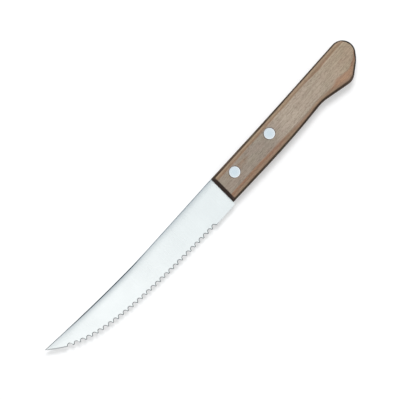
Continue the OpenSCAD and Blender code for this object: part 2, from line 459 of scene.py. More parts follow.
@dataclass(frozen=True)
class BackEdgeSteelPaintedShade:
    """The same steel along the back, sheared by the blanking press and eased on a belt.

    To the eye it is a thin grey-blue line with faint lines along its length. The grey is painted shade
    for the dark that the rounded back mirrors, palest by the handle and darker from where the back
    bends to the tip.
    """

    shift_x: float
    name: str = "back_edge_steel_painted_shade"
    # Painted shade along the back, by place along the blade
    tones: tuple[tuple[float, str], ...] = (
        (0.0, "#8a959a"), (46.0, "#88939a"), (58.0, "#6a747a"), (72.0, "#5a646a"), (84.0, "#626c71"),
        (100.0, "#626c71"), (120.0, "#4f585d"))
    # Sides of one line, a belt's scratch drawn wider than a real one, so that it shows
    line: tuple[float, float, float] = (8.0, 0.15, 0.15)
    line_tone: float = 0.86
    spread: tuple[float, float] = (0.35, 0.65)
    roughness: float = 0.34

    def material(self) -> Material:
        """Builds the material.

        Returns:
            The material.
        """
        made, tree, place = new_material(self.name)
        parts = add_node(tree, "ShaderNodeSeparateXYZ", {0: place})
        along = add_node(tree, "ShaderNodeMapRange", {
            "Value": parts.outputs["X"], "From Min": (self.shift_x + self.tones[0][0]) * MM,
            "From Max": (self.shift_x + self.tones[-1][0]) * MM})
        tone = set_ramp(add_node(tree, "ShaderNodeValToRGB", {"Fac": along}), self.tones)
        drawn = add_node(tree, "ShaderNodeVectorMath", {0: place, 1: marks(*self.line)},
                         operation="MULTIPLY")
        lines = add_node(tree, "ShaderNodeTexNoise", {"Vector": drawn, "Scale": 1.0, "Detail": 2.0})
        darker = add_node(tree, "ShaderNodeMapRange", {
            "Value": lines, "From Min": self.spread[0], "From Max": self.spread[1],
            "To Min": 1.0, "To Max": self.line_tone})
        shade = add_node(tree, "ShaderNodeVectorMath", {0: tone, "Scale": darker}, operation="SCALE")
        shader = add_node(tree, "ShaderNodeBsdfPrincipled", {
            "Base Color": shade, "Metallic": 1.0, "Roughness": self.roughness})
        add_node(tree, "ShaderNodeOutputMaterial", {"Surface": shader})
        return made


@dataclass(frozen=True)
class FacedRivetSteel:
    """Nickel-plated steel rivet, its head faced flush on a fine belt, with a painted highlight on its rim.

    To the eye it is a cool blue-white disc with faint rings and a rim painted paler as a highlight.
    """

    head_r: float
    name: str = "faced_rivet_steel"
    colour: str = "#d4e2ea"
    ring_colour: str = "#cddce5"
    outer_colour: str = "#dfe8ed"
    # Painted highlight along the rim of the head
    rim_highlight_colour: str = "#eff3f5"
    # Rings that the facing belt left, drawn coarser than real ones so that they show
    ring_pitch: float = 0.3
    ring_depth: float = 0.0008
    ring_share: float = 0.25
    outer_share: float = 0.6
    rim_highlight_w: float = 0.5
    speck_w: float = 0.5
    relief: float = 0.4
    roughness: float = 0.2

    def material(self) -> Material:
        """Builds the material.

        Returns:
            The material.
        """
        made, tree, place = new_material(self.name)
        # Distance from the rivet's axis, in millimetres
        flat = add_node(tree, "ShaderNodeVectorMath", {0: place, 1: (1 / MM, 1 / MM, 0.0)},
                        operation="MULTIPLY")
        radius = add_node(tree, "ShaderNodeVectorMath", {0: flat}, operation="LENGTH")
        swing = add_node(tree, "ShaderNodeMath", {0: radius, 1: 2 * math.pi / self.ring_pitch},
                         operation="MULTIPLY")
        rings = add_node(tree, "ShaderNodeMath", {0: swing}, operation="SINE")
        specks = add_node(tree, "ShaderNodeTexNoise", {
            "Vector": place, "Scale": marks(self.speck_w)[0], "Detail": 3.0})
        mark = add_node(tree, "ShaderNodeMath", {0: rings, 1: self.ring_share, 2: specks},
                        operation="MULTIPLY_ADD")
        # Paler outwards, where the belt ran off the head, and brightest on the rim, a painted highlight
        inside = self.head_r - self.rim_highlight_w
        outer, rim = [
            add_node(tree, "ShaderNodeMapRange", {
                "Value": radius, "From Min": low, "From Max": high, "To Max": share})
            for low, high, share in ((self.head_r / 3, inside, self.outer_share),
                                     (inside, self.head_r - self.rim_highlight_w / 3, 1.0))]
        tint = linear(self.colour)
        for share, over in ((mark, self.ring_colour), (outer, self.outer_colour), (rim, self.rim_highlight_colour)):
            tint = add_node(tree, "ShaderNodeMix", {"Factor": share, "A": tint, "B": linear(over)},
                            data_type="RGBA")
        relief = add_node(tree, "ShaderNodeBump", {
            "Height": mark, "Strength": self.relief, "Distance": self.ring_depth * MM})
        shader = add_node(tree, "ShaderNodeBsdfPrincipled", {
            "Base Color": tint, "Metallic": 1.0, "Roughness": self.roughness, "Normal": relief})
        add_node(tree, "ShaderNodeOutputMaterial", {"Surface": shader})
        return made


@dataclass(frozen=True)
class LaminatedBirch:
    """Dyed birch veneers bonded under pressure, sanded to shape and rubbed with oil.

    To the eye the flat faces are a dull grey-brown with fine dark streaks along the grain, painted
    darker towards the front as shade. Where the rounded edges cut down through the veneers they show as
    an orange-brown line, a paler band and then the dark core, whose own dark veneers are drawn darker
    still as painted shade on the steep sides. End grain is darker than the faces, and painted darker
    still with shade, nearly black-brown at the rear end.

    Places are in the knife's axes, whose zero lies at shift, and front_slope is how the handle's front
    leans in them. Depths, also those of the layers, lie under the nearer face.
    """

    half_t: float
    shift: tuple[float, float]
    front_slope: float
    name: str = "laminated_dyed_birch"
    # The faces are painted darker towards the front, a painted shade
    face_tones: tuple[tuple[float, str], ...] = (
        (-98.0, "#ab9882"), (-85.0, "#b2a18d"), (-72.0, "#b3a493"), (-62.0, "#b6a797"),
        (-50.0, "#b9ab9b"), (-42.0, "#b3a597"), (-34.0, "#9f9488"), (0.0, "#a29588"))
    # From 1.5 mm down the veneers go near black: the core's own dark veneers, painted darker as shade on
    # the steep sides
    back_layers: tuple[tuple[float, str], ...] = (
        (0.1, "#967962"), (0.4, "#917862"), (0.8, "#a89179"), (1.25, "#a68e77"), (1.5, "#7d6854"),
        (1.72, "#251a13"), (2.7, "#211711"))
    belly_layers: tuple[tuple[float, str], ...] = (
        (0.1, "#a07c65"), (0.4, "#9a7761"), (0.8, "#ad8f79"), (1.25, "#a88c75"), (1.5, "#7f6753"),
        (1.72, "#2b2019"), (2.7, "#241b15"))
    core_layers: tuple[tuple[float, str], ...] = (
        (2.9, "#4e3c2d"), (3.7, "#57432f"), (3.9, "#2c211a"), (4.8, "#33271e"), (5.0, "#57432f"))
    hump_tone: str = "#b49177"
    green_tone: str = "#9a9a80"
    pink_tone: str = "#b09488"
    streak_tone: str = "#7a6a5a"
    pore_tone: str = "#5d5044"
    # Colours of the ends: the end grain's own dark and painted shade, near black at the rear
    front_end_and_shade_tone: str = "#40342f"
    rear_end_and_shade_tone: str = "#17110e"
    # Length, width and depth of the marks: the pores are drawn wider than real ones, so that they show
    ripple: tuple[float, float, float] = (28.0, 6.0, 9.0)
    cloud: tuple[float, float, float] = (9.0, 4.0, 4.0)
    streak: tuple[float, float, float] = (9.0, 0.55, 0.55)
    pore: tuple[float, float, float] = (1.3, 0.38, 0.38)
    pore_depth: float = 0.05
    # From the first to the second depth the face veneer wears through, where it is thin and thick
    thin_veneer: tuple[float, float] = (0.03, 0.13)
    thick_veneer: tuple[float, float] = (0.3, 0.9)
    # The hump's slope was sanded a little deeper, and its paler veneer ends between two depths
    hump_slope: float = 0.24
    hump_sanding: float = 0.16
    hump_fade: tuple[float, float] = (1.0, 0.5)
    belly_sanding: float = 1.05
    relief: float = 0.35
    roughness: float = 0.6
    sheen: float = 0.06

    def material(self) -> Material:
        """Builds the material.

        Returns:
            The material.
        """
        made, tree, place = new_material(self.name)
        scaled = add_node(tree, "ShaderNodeVectorMath", {0: place, "Scale": 1 / MM}, operation="SCALE")
        own = add_node(tree, "ShaderNodeVectorMath", {0: scaled, 1: (*self.shift, self.half_t)},
                       operation="SUBTRACT")
        x, y, z = add_node(tree, "ShaderNodeSeparateXYZ", {0: own}).outputs
        ripples, clouds, streaks, pores = [
            add_node(tree, "ShaderNodeTexNoise", {
                "Vector": add_node(tree, "ShaderNodeVectorMath", {0: place, 1: marks(*sides)},
                                   operation="MULTIPLY"),
                "Scale": 1.0, "Detail": detail, "Roughness": 0.6})
            for sides, detail in ((self.ripple, 3.0), (self.cloud, 2.0), (self.streak, 4.0),
                                  (self.pore, 2.0))]
        # The first is the same all along the hump's slope, and the second all along the front
        beside_slope = add_node(tree, "ShaderNodeMath", {0: x, 1: self.hump_slope, 2: y},
                                operation="MULTIPLY_ADD")
        behind_front = add_node(tree, "ShaderNodeMath", {0: y, 1: -self.front_slope, 2: x},
                                operation="MULTIPLY_ADD")
        normal = add_node(tree, "ShaderNodeSeparateXYZ", {
            0: add_node(tree, "ShaderNodeTexCoord").outputs["Normal"]})
        facing = add_node(tree, "ShaderNodeMath", {0: normal.outputs["X"]}, operation="ABSOLUTE")
        # What each share follows, where it starts and ends, and its value at both ends
        shares = {
            what: add_node(tree, "ShaderNodeMapRange", {
                "Value": value, "From Min": low, "From Max": high, "To Min": start, "To Max": end})
            for what, (value, low, high, start, end) in {
                "along": (x, self.face_tones[0][0], self.face_tones[-1][0], 0.0, 1.0),
                "belly": (y, 6.0, 11.0, 0.0, 1.0),
                # Along the back it was sanded deeper towards the front
                "back_sanding": (x, -60.0, 0.0, 0.95, 1.55),
                # The veneers came out of the press a little wavy
                "wave": (ripples, 0.25, 0.75, -0.14, 0.14),
                # Along the slope of the hump it was sanded a little deeper, into a paler veneer
                "hump_end": (x, -70.0, -82.0, 0.0, 1.0),
                "hump_side": (beside_slope, -8.0, -4.8, 0.0, 1.0),
                # The face veneer is thick along the belly at the waist, and a little along the back
                "waist_front": (x, -36.0, -54.0, 0.0, 1.0),
                "waist_rear": (x, -79.0, -70.0, 0.0, 1.0),
                "back_front": (x, -28.0, -40.0, 0.0, 0.26),
                "back_rear": (x, -76.0, -66.0, 0.0, 1.0),
                # The dye took unevenly: faint greenish and pinkish clouds
                "green": (clouds, 0.5, 0.7, 0.0, 0.16),
                "pink": (clouds, 0.5, 0.3, 0.0, 0.14),
                # Streaks of darker latewood, half a millimetre apart, and short pores
                "dark": (streaks, 0.4, 0.72, 0.0, 0.5),
                "pits": (pores, 0.48, 0.7, 0.0, 0.46),
                "rough": (streaks, 0.3, 0.7, self.roughness - 0.05, self.roughness + 0.08),
                # End grain is darker, and painted darker still as shade, as is the front up to a little way
                # back
                "end_grain_and_shade": (facing, 0.34, 0.58, 0.0, 0.98),
                "front_band_grain_and_shade": (behind_front, -2.2, -1.8, 0.0, 0.85),
                "to_rear": (x, -40.0, -85.0, 0.0, 1.0),
            }.items()}
        on_hump, at_waist, on_back = [
            add_node(tree, "ShaderNodeMath", {0: shares[a], 1: shares[b]}, operation="MULTIPLY")
            for a, b in (("hump_end", "hump_side"), ("waist_front", "waist_rear"),
                         ("back_front", "back_rear"))]

        # Depth under the nearer face, as sanding and the veneers' waves change it
        height = add_node(tree, "ShaderNodeMath", {0: z}, operation="ABSOLUTE")
        depth = add_node(tree, "ShaderNodeMath", {0: self.half_t, 1: height}, operation="SUBTRACT")
        sanding = add_node(tree, "ShaderNodeMix", {
            "Factor": shares["belly"], "A": shares["back_sanding"], "B": self.belly_sanding},
            data_type="FLOAT")
        depth = add_node(tree, "ShaderNodeMath", {0: depth, 1: sanding, 2: shares["wave"]},
                         operation="MULTIPLY_ADD")
        depth = add_node(tree, "ShaderNodeMath", {0: on_hump, 1: self.hump_sanding, 2: depth},
                         operation="MULTIPLY_ADD")

        # The veneers below, which took the dye redder where the belly cuts through them
        layers = [self.back_layers + self.core_layers, self.belly_layers + self.core_layers]
        level = add_node(tree, "ShaderNodeMapRange", {
            "Value": depth, "From Min": layers[0][0][0], "From Max": layers[0][-1][0]})
        back, belly = [
            set_ramp(add_node(tree, "ShaderNodeValToRGB", {"Fac": level}), stops) for stops in layers]
        shallow = add_node(tree, "ShaderNodeMapRange", {
            "Value": depth, "From Min": self.hump_fade[0], "From Max": self.hump_fade[1]})
        paler = add_node(tree, "ShaderNodeMath", {0: on_hump, 1: shallow}, operation="MULTIPLY")
        under = add_node(tree, "ShaderNodeMix", {"Factor": shares["belly"], "A": back, "B": belly},
                         data_type="RGBA")
        under = add_node(tree, "ShaderNodeMix", {"Factor": paler, "A": under, "B": linear(self.hump_tone)},
                         data_type="RGBA")
        kept = add_node(tree, "ShaderNodeMath", {0: shares["belly"], 1: at_waist}, operation="MULTIPLY")
        kept = add_node(tree, "ShaderNodeMath", {0: kept, 1: on_back}, operation="MAXIMUM")
        upper, lower = [
            add_node(tree, "ShaderNodeMapRange", {"Value": kept, "To Min": thin, "To Max": thick})
            for thin, thick in zip(self.thin_veneer, self.thick_veneer)]
        through = add_node(tree, "ShaderNodeMapRange", {
            "Value": depth, "From Min": upper, "From Max": lower})

        # End grain and the front band, darkened for the grain and with painted shade
        dark_ends_and_shade = add_node(tree, "ShaderNodeMath", {0: shares["front_band_grain_and_shade"], 1: shares["end_grain_and_shade"]},
                          operation="MAXIMUM")
        dark_end_and_shade_tone = add_node(tree, "ShaderNodeMix", {
            "Factor": shares["to_rear"], "A": linear(self.front_end_and_shade_tone), "B": linear(self.rear_end_and_shade_tone)},
            data_type="RGBA")
        wood = set_ramp(add_node(tree, "ShaderNodeValToRGB", {"Fac": shares["along"]}), self.face_tones)
        for share, over in (
                (through, under), (shares["green"], linear(self.green_tone)),
                (shares["pink"], linear(self.pink_tone)), (shares["dark"], linear(self.streak_tone)),
                (shares["pits"], linear(self.pore_tone)), (dark_ends_and_shade, dark_end_and_shade_tone)):
            wood = add_node(tree, "ShaderNodeMix", {"Factor": share, "A": wood, "B": over},
                            data_type="RGBA")
        relief = add_node(tree, "ShaderNodeBump", {
            "Height": shares["pits"], "Strength": self.relief, "Distance": self.pore_depth * MM},
            invert=True)
        # Open pores swallow most of the sheen that so smooth a surface would have
        shader = add_node(tree, "ShaderNodeBsdfPrincipled", {
            "Base Color": wood, "Roughness": shares["rough"], "IOR": 1.5,
            "Specular IOR Level": self.sheen, "Normal": relief})
        add_node(tree, "ShaderNodeOutputMaterial", {"Surface": shader})
        return made


@dataclass(frozen=True)
class StudioPaper:
    """Matt white background paper: no gloss, a faint tooth, and it takes soft shadows."""

    name: str = "matt_white_background_paper"
    colour: str = "#dcdcdc"
    glow: float = 0.36
    # Drawn coarser than real tooth, so that it shows
    tooth_w: float = 0.8
    tooth_depth: float = 0.02
    relief: float = 0.05

    def material(self) -> Material:
        """Builds the material.

        Returns:
            The material.
        """
        made, tree, place = new_material(self.name)
        tooth = add_node(tree, "ShaderNodeTexNoise", {
            "Vector": place, "Scale": marks(self.tooth_w)[0], "Detail": 2.0})
        relief = add_node(tree, "ShaderNodeBump", {
            "Height": tooth, "Strength": self.relief, "Distance": self.tooth_depth * MM})
        sheet = add_node(tree, "ShaderNodeBsdfDiffuse", {"Color": linear(self.colour), "Normal": relief})
        # What looks at the paper, straight or in a mirror, sees it a little lighter than it lights
        rays = add_node(tree, "ShaderNodeLightPath").outputs
        seen = rays["Is Camera Ray"]
        for ray in ("Is Glossy Ray", "Is Transmission Ray"):
            seen = add_node(tree, "ShaderNodeMath", {0: seen, 1: rays[ray]}, operation="MAXIMUM")
        strength = add_node(tree, "ShaderNodeMath", {0: seen, 1: self.glow}, operation="MULTIPLY")
        glow = add_node(tree, "ShaderNodeEmission", {"Strength": strength})
        add_node(tree, "ShaderNodeOutputMaterial", {
            "Surface": add_node(tree, "ShaderNodeAddShader", {0: sheet, 1: glow})})
        return made


# The knife


class BladeSurface(Enum):
    """Surfaces of the blade, numbered in the order of its finishes."""

    GLAZED = 0
    CUT = 1
    BACK = 2
    HONED = 3


@dataclass
class SerratedBlade:
    """The blade and its tang: one stamped sheet, ground from the back to the edge and serrated.

    Rows of points run across each face, one row to a cross-section of the blade.
    """

    place: KnifePlace
    length: float = 120.7
    heel_h: float = 17.7
    heel_r: float = 1.3
    tip_rise: float = 4.45
    tip_blunt: float = 0.03
    back_straight_l: float = 48.0
    back_control: float = 0.6
    edge_controls: tuple[tuple[float, float], ...] = ((0.735, 0.888), (0.868, 0.595))
    edge_start_x: float = -2.0
    sheet_t: float = 1.5
    grind_w: float = 18.0
    foot_t: float = 0.4
    bevel_w: float = 0.45
    keen_t: float = 0.06
    plain_heel_l: float = 15.1
    plain_tip_l: float = 8.9
    tooth_pitch: float = 3.12
    gullet_r: float = 1.13
    gullet_depth: float = 1.4
    gullet_tilt: float = 45.0
    tang_l: float = 45.7
    tang_middle_x: float = -22.0
    tang_low: float = 0.7
    tang_high: float = 16.0
    tang_corner_r: float = 2.0
    front_lean: float = 0.9
    hole_d: float = 3.8
    # The back's corners are eased, twice as wide between the inner places, where the belt dwelt
    back_ease_w: float = 0.32
    dwell_from: tuple[float, float] = (48.0, 62.0)
    dwell_to: tuple[float, float] = (94.0, 108.0)
    # The faces roll off towards the back, more so past the place where it bends
    roll_w: float = 4.0
    roll_t: float = 0.28
    roll_at_heel: float = 0.74
    roll_gain: float = 0.36
    roll_gain_x: tuple[float, float] = (48.0, 70.0)
    roll_run_in: float = 0.1
    roll_t_limit: float = 0.38
    # The teeth were buffed: a strip along them falls away, and less so along the plain heel
    strip_w: float = 0.31
    strip_t: float = 0.14
    strip_at_heel: float = 0.2
    strip_run_in: float = 0.6
    # At the narrow tip no part of a face is wider than these shares of the blade
    ease_limit: float = 0.12
    roll_limit: float = 0.3
    strip_limit: float = 0.35
    toe_limit: float = 0.5
    inner_limit: float = 0.7
    # Stands for a width of nothing where one divides
    least_w: float = 1e-6
    # The outermost rows follow the edge from this far in, or from this share of the width
    outer_w: float = 3.2
    outer_from: float = 0.55
    # Shares of the way across the roll, the middle and the part along the edge
    roll_rows: tuple[float, ...] = (0.08, 0.2, 0.36, 0.56, 0.78, 1.0)
    middle_rows: tuple[float, ...] = (0.25, 0.5, 0.75, 1.0)
    outer_rows: tuple[float, ...] = (0.35, 0.7, 0.9, 1.0)
    # Cross-sections beside a gullet, as shares of the strip, and how far close ones go on past the row
    land_shares: tuple[float, ...] = (0.03, 0.35, 0.7, 1.0)
    row_margins: tuple[float, float] = (0.3, 0.35)
    # Just inside a gullet's ends, where its wall is upright
    gullet_inside: float = 0.999
    gullet_steps: int = 18
    heel_points: int = 11
    plain_points: int = 7
    margin_points: int = 5
    tip_points: int = 22
    curve_steps: int = 400
    arc_points: int = 9
    arc_t_limit: float = 0.9
    buff_points: int = 15
    rim_rounds: int = 5
    hole_flats: int = 48
    probe: float = 0.05
    crease_angle: float = 15.0
    # Faces that look towards the edge and lean at least ten degrees from the blade's flat are cut ones
    flat_cos: float = 0.985
    edge_facing: float = 0.12
    bare_run_in: float = 0.5
    back_share: float = 0.8

    def __post_init__(self) -> None:
        """Works out the curves and the row of gullets."""
        tip = (self.length, -self.tip_rise)
        self.back_curve = bezier([
            (self.back_straight_l, 0.0), (self.length * self.back_control, 0.0), tip], self.curve_steps)
        self.edge_curve = bezier([
            (self.plain_heel_l, self.heel_h),
            *[(self.length * x, self.heel_h * y) for x, y in self.edge_controls], tip],
            2 * self.curve_steps)
        serrated = self.length - self.plain_heel_l - self.plain_tip_l
        count = round(serrated / self.tooth_pitch)
        self.pitch = serrated / count
        self.gullets = self.plain_heel_l + self.pitch * (np.arange(count) + 0.5)
        self.last_cut_x = self.gullets[-1] + self.gullet_r
        self.grind_slope = (self.sheet_t - self.foot_t) / 2 / self.grind_w

    def back_y(self, x: np.ndarray) -> np.ndarray:
        """Height of the back at each x."""
        return np.interp(x, self.back_curve[:, 0], self.back_curve[:, 1])

    def edge_y(self, x: np.ndarray) -> np.ndarray:
        """Height of the plain edge at each x, before the gullets."""
        return np.interp(x, self.edge_curve[:, 0], self.edge_curve[:, 1])

    def edge_cos(self, x: np.ndarray) -> np.ndarray:
        """Cosine of the edge's slope at each x."""
        slope = (self.edge_y(x + self.probe) - self.edge_y(x - self.probe)) / (2 * self.probe)
        return 1 / np.sqrt(1 + slope**2)

    def half_t(self, x: np.ndarray, y: np.ndarray) -> np.ndarray:
        """Half the blade's thickness at each point of its faces.

        Args:
            x: places along the blade.
            y: heights, in an array of the same shape.

        Returns:
            Half the thickness, with the roll towards the back.
        """
        # The grind thins the sheet by the distance to the edge, taken to every fourth of its points
        line = np.vstack([[(self.edge_start_x, self.heel_h)], self.edge_curve[::4]])
        start, step = line[:-1], np.diff(line, axis=0)
        flat = np.stack([x, y], -1).reshape(-1, 1, 2) - start
        share = np.clip((flat * step).sum(-1) / (step**2).sum(-1), 0.0, 1.0)
        gap = np.linalg.norm(flat - share[..., None] * step, axis=-1).min(1).reshape(np.shape(x))
        ground = np.minimum(self.sheet_t / 2, self.foot_t / 2 + self.grind_slope * gap)
        from_back = np.clip((y - self.back_y(x)) / self.roll_w, 0.0, 1.0)
        roll = np.minimum(self.roll_t, self.roll_t_limit * ground) * (1 - from_back) ** 2
        grown = self.roll_at_heel + self.roll_gain * smooth_step(x, *self.roll_gain_x)
        return ground - roll * grown * smooth_step(x, -self.roll_run_in, 0.0)

    def rim_y(self, x: np.ndarray, side: int) -> np.ndarray:
        """Height of the edge on one face, with its gullets.

        Args:
            x: places along the blade.
            side: 1 for the left face and -1 for the right, from which the wheel cuts deeper.

        Returns:
            The height at each x.
        """
        lean = math.radians(self.gullet_tilt)
        rise = self.gullet_r / math.cos(lean)
        foot_z = self.foot_t / 2 + self.grind_slope * self.gullet_depth
        plain = self.edge_y(x)
        across = (x[:, None] - self.gullets) / self.gullet_r
        bow = rise * np.sqrt(np.clip(1 - across**2, 0.0, None))
        rim = plain
        # The face's height hangs on the edge's and the edge's on the face's: a few rounds settle both
        for _ in range(self.rim_rounds):
            z = side * self.half_t(x, rim)
            floor = self.edge_y(self.gullets) - self.gullet_depth + rise
            floor = floor + (z[:, None] - foot_z) * math.tan(lean) - bow
            rim = np.minimum(plain, np.where(np.abs(across) < 1, floor, np.inf).min(1))
        return rim

    def eased_w(self, x: np.ndarray) -> np.ndarray:
        """Width of the eased corner along the back at each x; the belt dwelt where the back bends."""
        dwelt = smooth_step(x, *self.dwell_from) * (1 - smooth_step(x, *self.dwell_to))
        return self.back_ease_w * (1 + dwelt)

    def buffed_w(self, x: np.ndarray, rim: np.ndarray, side: int) -> np.ndarray:
        """Width of the buffed strip at each x, so that it follows the gullets at one distance.

        Args:
            x: places along the blade.
            rim: height of the edge there.
            side: 1 for the left face and -1 for the right.

        Returns:
            The width, measured up the blade.
        """
        steps = np.sin(np.linspace(-math.pi / 2, math.pi / 2, self.buff_points)) * self.strip_w
        near = self.rim_y((x[:, None] + steps).ravel(), side).reshape(len(x), -1)
        return rim - (near - np.sqrt(self.strip_w**2 - steps**2)).min(1)

    def stations(self) -> tuple[np.ndarray, np.ndarray]:
        """Places of the cross-sections of the blade.

        Returns:
            x of each cross-section, and the height of its plain edge.
        """
        turn = np.linspace(0.0, math.pi / 2, self.heel_points)
        heel_x = self.front_lean + self.heel_r * (1 - np.cos(turn))
        heel_y = self.heel_h - self.heel_r * (1 - np.sin(turn))
        first = self.gullets[0] - self.pitch / 2 - self.row_margins[0]
        last = self.gullets[-1] + self.pitch / 2 + self.row_margins[1]
        plain = np.linspace(heel_x[-1], first, self.plain_points)[1:]
        turns = np.linspace(-math.pi / 2, math.pi / 2, self.gullet_steps + 1)
        inside = self.gullet_inside * self.gullet_r * np.sin(turns)
        land = self.gullet_r + self.strip_w * np.array(self.land_shares)
        swing = np.concatenate([-land[::-1], inside, land])
        cut = np.unique(np.round((self.gullets[:, None] + swing).ravel(), 6))
        entry = np.linspace(first, cut[0], self.margin_points)[1:-1]
        leaving = np.linspace(cut[-1], last, self.margin_points)[1:]
        turns = np.linspace(0, math.pi / 2, self.tip_points)[1:]
        tip = last + (self.length - self.tip_blunt - last) * np.sin(turns)
        x = np.concatenate([[0.0, self.front_lean], heel_x, plain, entry, cut, leaving, tip])
        start = [self.tang_high, self.tang_high]
        return x, np.concatenate([start, heel_y, self.edge_y(x[2 + len(heel_x):])])

    def side_rows(self, x: np.ndarray, high: np.ndarray, side: int) -> tuple[np.ndarray, np.ndarray]:
        """Rows of points across one face, from the middle of the back to the edge.

        Args:
            x: places of the cross-sections.
            high: height of the plain edge there.
            side: 1 for the left face and -1 for the right.

        Returns:
            Heights and half thicknesses, with a row for each place.
        """
        low = self.back_y(x)
        rim = np.minimum(self.rim_y(x, side), high)
        width = np.maximum(rim - low, 0.0)
        # The eased corner is a quarter round, flatter where the blade is thin
        ease = np.minimum(self.eased_w(x), self.ease_limit * width)
        back_z = self.half_t(x, low + ease)
        turn = np.linspace(0.0, math.pi / 2, self.arc_points)
        arc_y = low[:, None] + ease[:, None] * (1 - np.cos(turn))
        ease_t = np.minimum(ease, self.arc_t_limit * back_z)
        arc_z = back_z[:, None] - ease_t[:, None] * (1 - np.sin(turn))

        roll = low + np.minimum(self.roll_w, self.roll_limit * width)
        inner = np.maximum(high - self.outer_w, low + self.outer_from * (high - low))
        inner = np.minimum(inner, low + self.inner_limit * width)
        slant = self.edge_cos(x)
        toe = np.minimum(self.bevel_w / slant, self.toe_limit * width)
        sharpened = x > self.last_cut_x
        run_in = smooth_step(x, self.plain_heel_l - self.strip_run_in, self.plain_heel_l)
        buffed = self.strip_at_heel + (1 - self.strip_at_heel) * run_in
        strip = self.buffed_w(x, rim, side) * buffed
        bevel = np.maximum(self.strip_at_heel * self.strip_w, rim - (high - toe))
        strip = np.minimum(np.where(sharpened, bevel, strip), self.strip_limit * width)
        spans = ((low + ease, roll, self.roll_rows), (roll, inner, self.middle_rows),
                 (inner, rim - strip, self.outer_rows))
        face_y = np.concatenate([
            start[:, None] + (end - start)[:, None] * np.array(rows) for start, end, rows in spans], 1)
        face_z = self.half_t(np.broadcast_to(x[:, None], face_y.shape), face_y)

        rim_z = self.half_t(x, rim) - self.strip_t * buffed
        bevel_slope = (self.foot_t - self.keen_t) / 2 / np.maximum(toe * slant, self.least_w)
        keen_z = self.keen_t / 2 + (high - rim) * slant * bevel_slope
        rim_z = np.where(sharpened, np.minimum(rim_z, keen_z), rim_z)
        return (np.concatenate([arc_y, face_y, rim[:, None]], 1),
                np.concatenate([arc_z, face_z, rim_z[:, None]], 1))

    def tang_rows(self, y: np.ndarray, z: np.ndarray) -> tuple[np.ndarray, np.ndarray, np.ndarray]:
        """Rows of points across one face of the tang, in line with the first of the blade's.

        Args:
            y: heights across the blade where it meets the tang.
            z: half thicknesses there.

        Returns:
            x, heights and half thicknesses, with a row for each cross-section.
        """
        turn = np.linspace(0.0, math.pi / 2, self.arc_points)
        end_x = -self.tang_l + self.tang_corner_r * (1 - np.cos(turn))
        x = np.concatenate([end_x, [self.tang_middle_x, 0.0]])
        inset = np.concatenate([self.tang_corner_r * (1 - np.sin(turn)), [0.0, 0.0]])
        rows_y = np.clip(y, (self.tang_low + inset)[:, None], (self.tang_high - inset)[:, None])
        half, arc = self.sheet_t / 2, self.arc_points
        rows_z = np.concatenate([z[:arc] * half / z[arc - 1], np.full(len(z) - arc, half)])
        return x, rows_y, np.broadcast_to(rows_z, rows_y.shape)

    def build(self) -> Object:
        """Builds the blade's mesh with its tang, cuts the tang's holes and dresses it.

        Returns:
            The blade.
        """
        x, high = self.stations()
        loops = []
        for side in (1, -1):
            y, z = self.side_rows(x, high, side)
            tang_x, tang_y, tang_z = self.tang_rows(y[0], z[0])
            y, z = np.vstack([tang_y, y]), np.vstack([tang_z, z]) * side
            all_x = np.broadcast_to(np.concatenate([tang_x, x])[:, None], y.shape)
            loops.append(np.stack([all_x, y, z], -1))
        ring = np.concatenate([loops[0], loops[1][:, ::-1]], 1)
        blade = piece_from("serrated_blade", self.place.to_frame(ring.reshape(-1, 3)),
                           ring_faces(*ring.shape[:2]))
        r, reach = self.hole_d / 2, 2 * self.sheet_t
        hole = [(0.0, -reach), (r, -reach), (r, reach), (0.0, reach)]
        carve(blade, [lathe("hole", hole, axis, self.place, self.hole_flats) for axis in RIVET_AXES])
        crease(blade, self.crease_angle)
        honed = WheelCutSteel("honed_tip_edge_steel", colour="#eef2f3", line_colour="#dfe5e8")
        for finish in (GlazedBladeSteel(), WheelCutSteel(), BackEdgeSteelPaintedShade(self.place.x), honed):
            blade.data.materials.append(finish.material())
        self.mark_edges(blade)
        return blade

    def mark_edges(self, blade: Object) -> None:
        """Gives the cut edge and the back their own finishes.

        The serrating and sharpening wheels cut the edge and the blanking press sheared the back. Their
        faces are given darker greys, painted shade for the dark that they mirror; the honed tip stays pale.

        Args:
            blade: the blade's object.
        """
        for face in blade.data.polygons:
            x = face.center.x / MM - self.place.x
            in_from_back = face.center.y / MM - self.place.y - self.back_y(x)
            leans = abs(face.normal.z) < self.flat_cos and face.normal.y > self.edge_facing
            surface = BladeSurface.GLAZED
            if leans and x > self.last_cut_x:
                surface = BladeSurface.HONED
            elif leans and x > self.plain_heel_l - self.bare_run_in:
                surface = BladeSurface.CUT
            elif x > self.front_lean and in_from_back < self.back_share * self.eased_w(x):
                surface = BladeSurface.BACK
            face.material_index = surface.value


